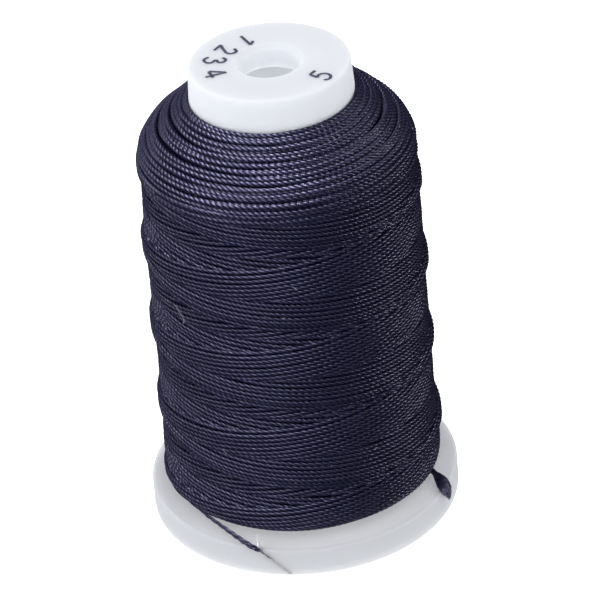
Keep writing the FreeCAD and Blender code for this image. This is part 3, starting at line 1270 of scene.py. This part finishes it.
class SPOOL_OT_stage(bpy.types.Operator):
    """Set the floor, the soft surroundings, the lights and the camera"""

    bl_idname = "spool.stage"
    bl_label = "Stage"

    def execute(self, context):
        settings = context.scene.spool_stage
        context.scene.view_settings.view_transform = "Standard"
        self.floor()
        self.surroundings(context.scene, settings)
        key = settings.key
        cool, side, white = (0.76, 0.72, 1.0), (0.84, 0.80, 1.0), (1.0, 1.0, 1.0)
        sheen = (
            ("sheen_front", (-0.30, -0.44, 0.72), (0.70, 0.30), 1.30 * key, cool),
            ("sheen_over", (-0.16, 0.08, 0.83), (0.34, 0.22), 2.5 * key, (0.68, 0.65, 1.0)),
            ("sheen_wide", (-0.32, -0.78, 0.30), (0.90, 0.80), 0.50 * key, cool),
            ("sheen_left", (-0.80, 0.20, 0.34), (0.24, 0.24), 0.42 * key, side),
            ("sheen_right", (0.80, 0.02, 0.30), (0.10, 0.34), 0.62 * key, side),
        )
        for light in sheen:
            self.soft_light(*light).visible_diffuse = False
        fill = self.soft_light("front_fill", (0.10, -0.76, 0.42), (0.60, 0.60), settings.fill, white)
        fill.visible_glossy = False
        self.glow_inside(settings)
        self.camera(context.scene, settings)
        return {"FINISHED"}

    def floor(self):
        """A wide sheet under the spool."""
        deselect()
        below = (0, 0, -0.02 * MM)
        bpy.ops.mesh.primitive_circle_add(vertices=64, radius=4.0, fill_type="NGON", location=below)
        sheet = bpy.context.object
        sheet.name = "floor_sheet"
        sheet.data.materials.append(finish_of(floor_paper))
        sheet.visible_diffuse = False
        sheet.visible_glossy = False
        sheet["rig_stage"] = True

    def surroundings(self, scene, settings):
        """A white room, a little brighter on the left and low down, that makes no highlights."""
        world = bpy.data.worlds.new("white_room")
        world.use_nodes = True
        world.cycles_visibility.glossy = False
        scene.world = world
        recipe = Recipe("", world.node_tree)
        towards = recipe.node("ShaderNodeTexCoord", {}, out=0)
        aside, height = recipe.axis(towards, 0), recipe.axis(towards, 2)
        strength = settings.dome * (1.0 - 0.20 * aside) * (1.0 - 0.06 * height)
        recipe.show(recipe.node("ShaderNodeBackground", {}, Color=(0.96, 0.97, 1.0), Strength=strength))

    def soft_light(self, name, place, size, power, tone):
        """A soft light that faces the spool."""
        data = bpy.data.lights.new(name, "AREA")
        data.shape = "RECTANGLE"
        data.size, data.size_y = size
        data.energy = power
        data.color = tone
        light = add_object(name, data)
        light.location = place
        towards = Vector((0, 0, SPOOL_TOP / 2)) - light.location
        light.rotation_euler = towards.to_track_quat("-Z", "Y").to_euler()
        return light

    def glow_inside(self, settings):
        """A weak light in the hollow, for what the white plastic lets through."""
        data = bpy.data.lights.new("inner_glow", "POINT")
        data.energy = settings.glow
        data.shadow_soft_size = 2 * MM
        add_object("inner_glow", data).location = (0, 0, SPOOL_TOP - 14 * MM)

    def camera(self, scene, settings):
        """A long lens that looks down at the spool."""
        data = bpy.data.cameras.new("camera")
        data.lens = settings.focal
        data.sensor_width = 36
        data.clip_start = 0.01
        data.dof.use_dof = False
        camera = add_object("camera", data)
        back = Vector((0, -math.cos(settings.elevation), math.sin(settings.elevation)))
        right = Vector((1, 0, 0))
        up = back.cross(right)
        tilt = settings.roll
        across = right * math.cos(tilt) + up * math.sin(tilt)
        upward = up * math.cos(tilt) - right * math.sin(tilt)
        place = Vector((settings.aim_side, 0, settings.aim_height)) + back * settings.distance
        camera.matrix_world = Matrix.Translation(place) @ Matrix((across, upward, back)).transposed().to_4x4()
        scene.camera = camera


class SPOOL_PT_panel(bpy.types.Panel):
    """Lists the steps that build the spool"""

    bl_idname = "SPOOL_PT_panel"
    bl_label = "Spool"
    bl_space_type = "VIEW_3D"
    bl_region_type = "UI"
    bl_category = "Spool"

    def draw(self, context):
        for step in STEPS:
            self.layout.operator(step.bl_idname)
        for name, group in SETTINGS.items():
            box = self.layout.box()
            box.label(text=group.__doc__)
            for key in group.__annotations__:
                box.prop(getattr(context.scene, name), key)


STEPS = (
    SPOOL_OT_stage,
    SPOOL_OT_barrel,
    SPOOL_OT_flange,
    SPOOL_OT_under_layers,
    SPOOL_OT_body_threads,
    SPOOL_OT_end_threads,
    SPOOL_OT_running_end,
    SPOOL_OT_starting_tail,
    SPOOL_OT_numerals,
    SPOOL_OT_lint,
)


def register():
    """Make the settings, the steps and the panel known to Blender."""
    for name, group in SETTINGS.items():
        bpy.utils.register_class(group)
        setattr(bpy.types.Scene, name, bpy.props.PointerProperty(type=group))
    for step in (*STEPS, SPOOL_PT_panel):
        bpy.utils.register_class(step)


def unregister():
    """Take them away again."""
    for step in reversed((*STEPS, SPOOL_PT_panel)):
        bpy.utils.unregister_class(step)
    for name, group in reversed(list(SETTINGS.items())):
        delattr(bpy.types.Scene, name)
        bpy.utils.unregister_class(group)


def main():
    """Build the spool step by step."""
    register()
    for step in STEPS:
        group, name = step.bl_idname.split(".")
        getattr(getattr(bpy.ops, group), name)()
    deselect()


if __name__ == "__main__":
    main()
